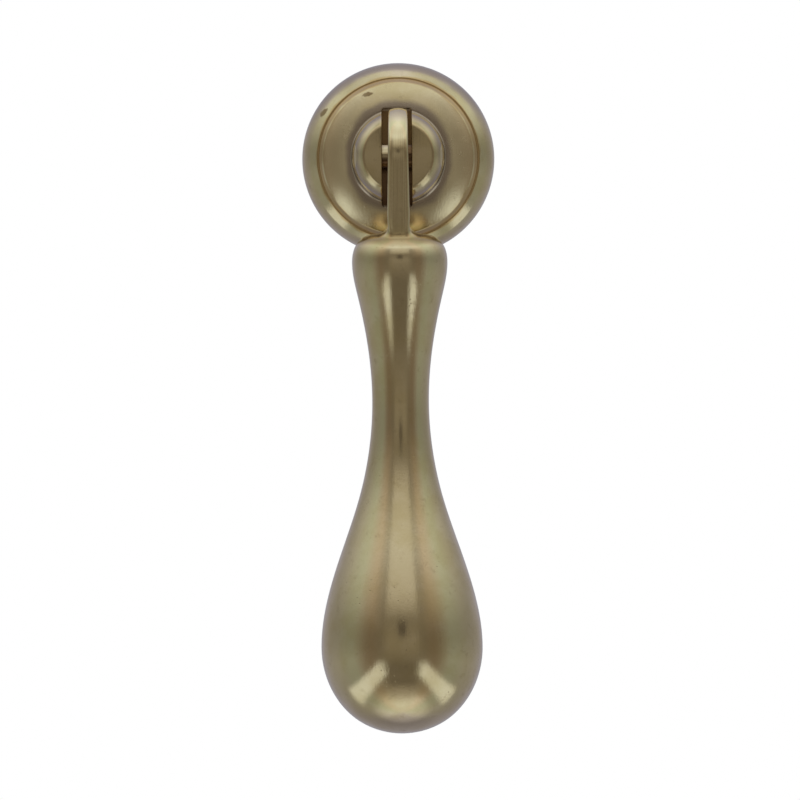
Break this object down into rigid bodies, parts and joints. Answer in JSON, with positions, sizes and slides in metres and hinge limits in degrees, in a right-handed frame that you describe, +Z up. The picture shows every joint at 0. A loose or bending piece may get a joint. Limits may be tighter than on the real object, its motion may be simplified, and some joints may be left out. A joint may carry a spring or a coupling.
{
  "type": "cabinet drop handle",
  "caption": "Brass cabinet drop handle: a round stepped rose with a slotted boss, and a pear-shaped drop that hangs and swings on a cross pin.",
  "frame": {"origin": "centre of the rose's flat back face, at the mouth of the screw hole, on the drawer front", "axes": "+Z up along the hanging drop, +Y into the drawer along the screw hole, and the handle stands out towards -Y"},
  "size_m": [0.024, 0.0201, 0.0832],
  "materials": {
    "rose_brass": "polished, lightly aged",
    "pin_brass": "dressed flush and polished",
    "drop_brass": "polished, lightly aged"
  },
  "bodies": {
    "rose": {"rose": "rose_brass", "hinge_pin": "pin_brass"},
    "drop": {"drop": "drop_brass"}
  },
  "joints": [
    {"name": "drop_swing", "type": "hinge", "parent": "rose", "child": "drop", "pos_m": [0, -0.0102, 0], "axis": [-1, 0, 0], "range_deg": [0, 160]}
  ]
}
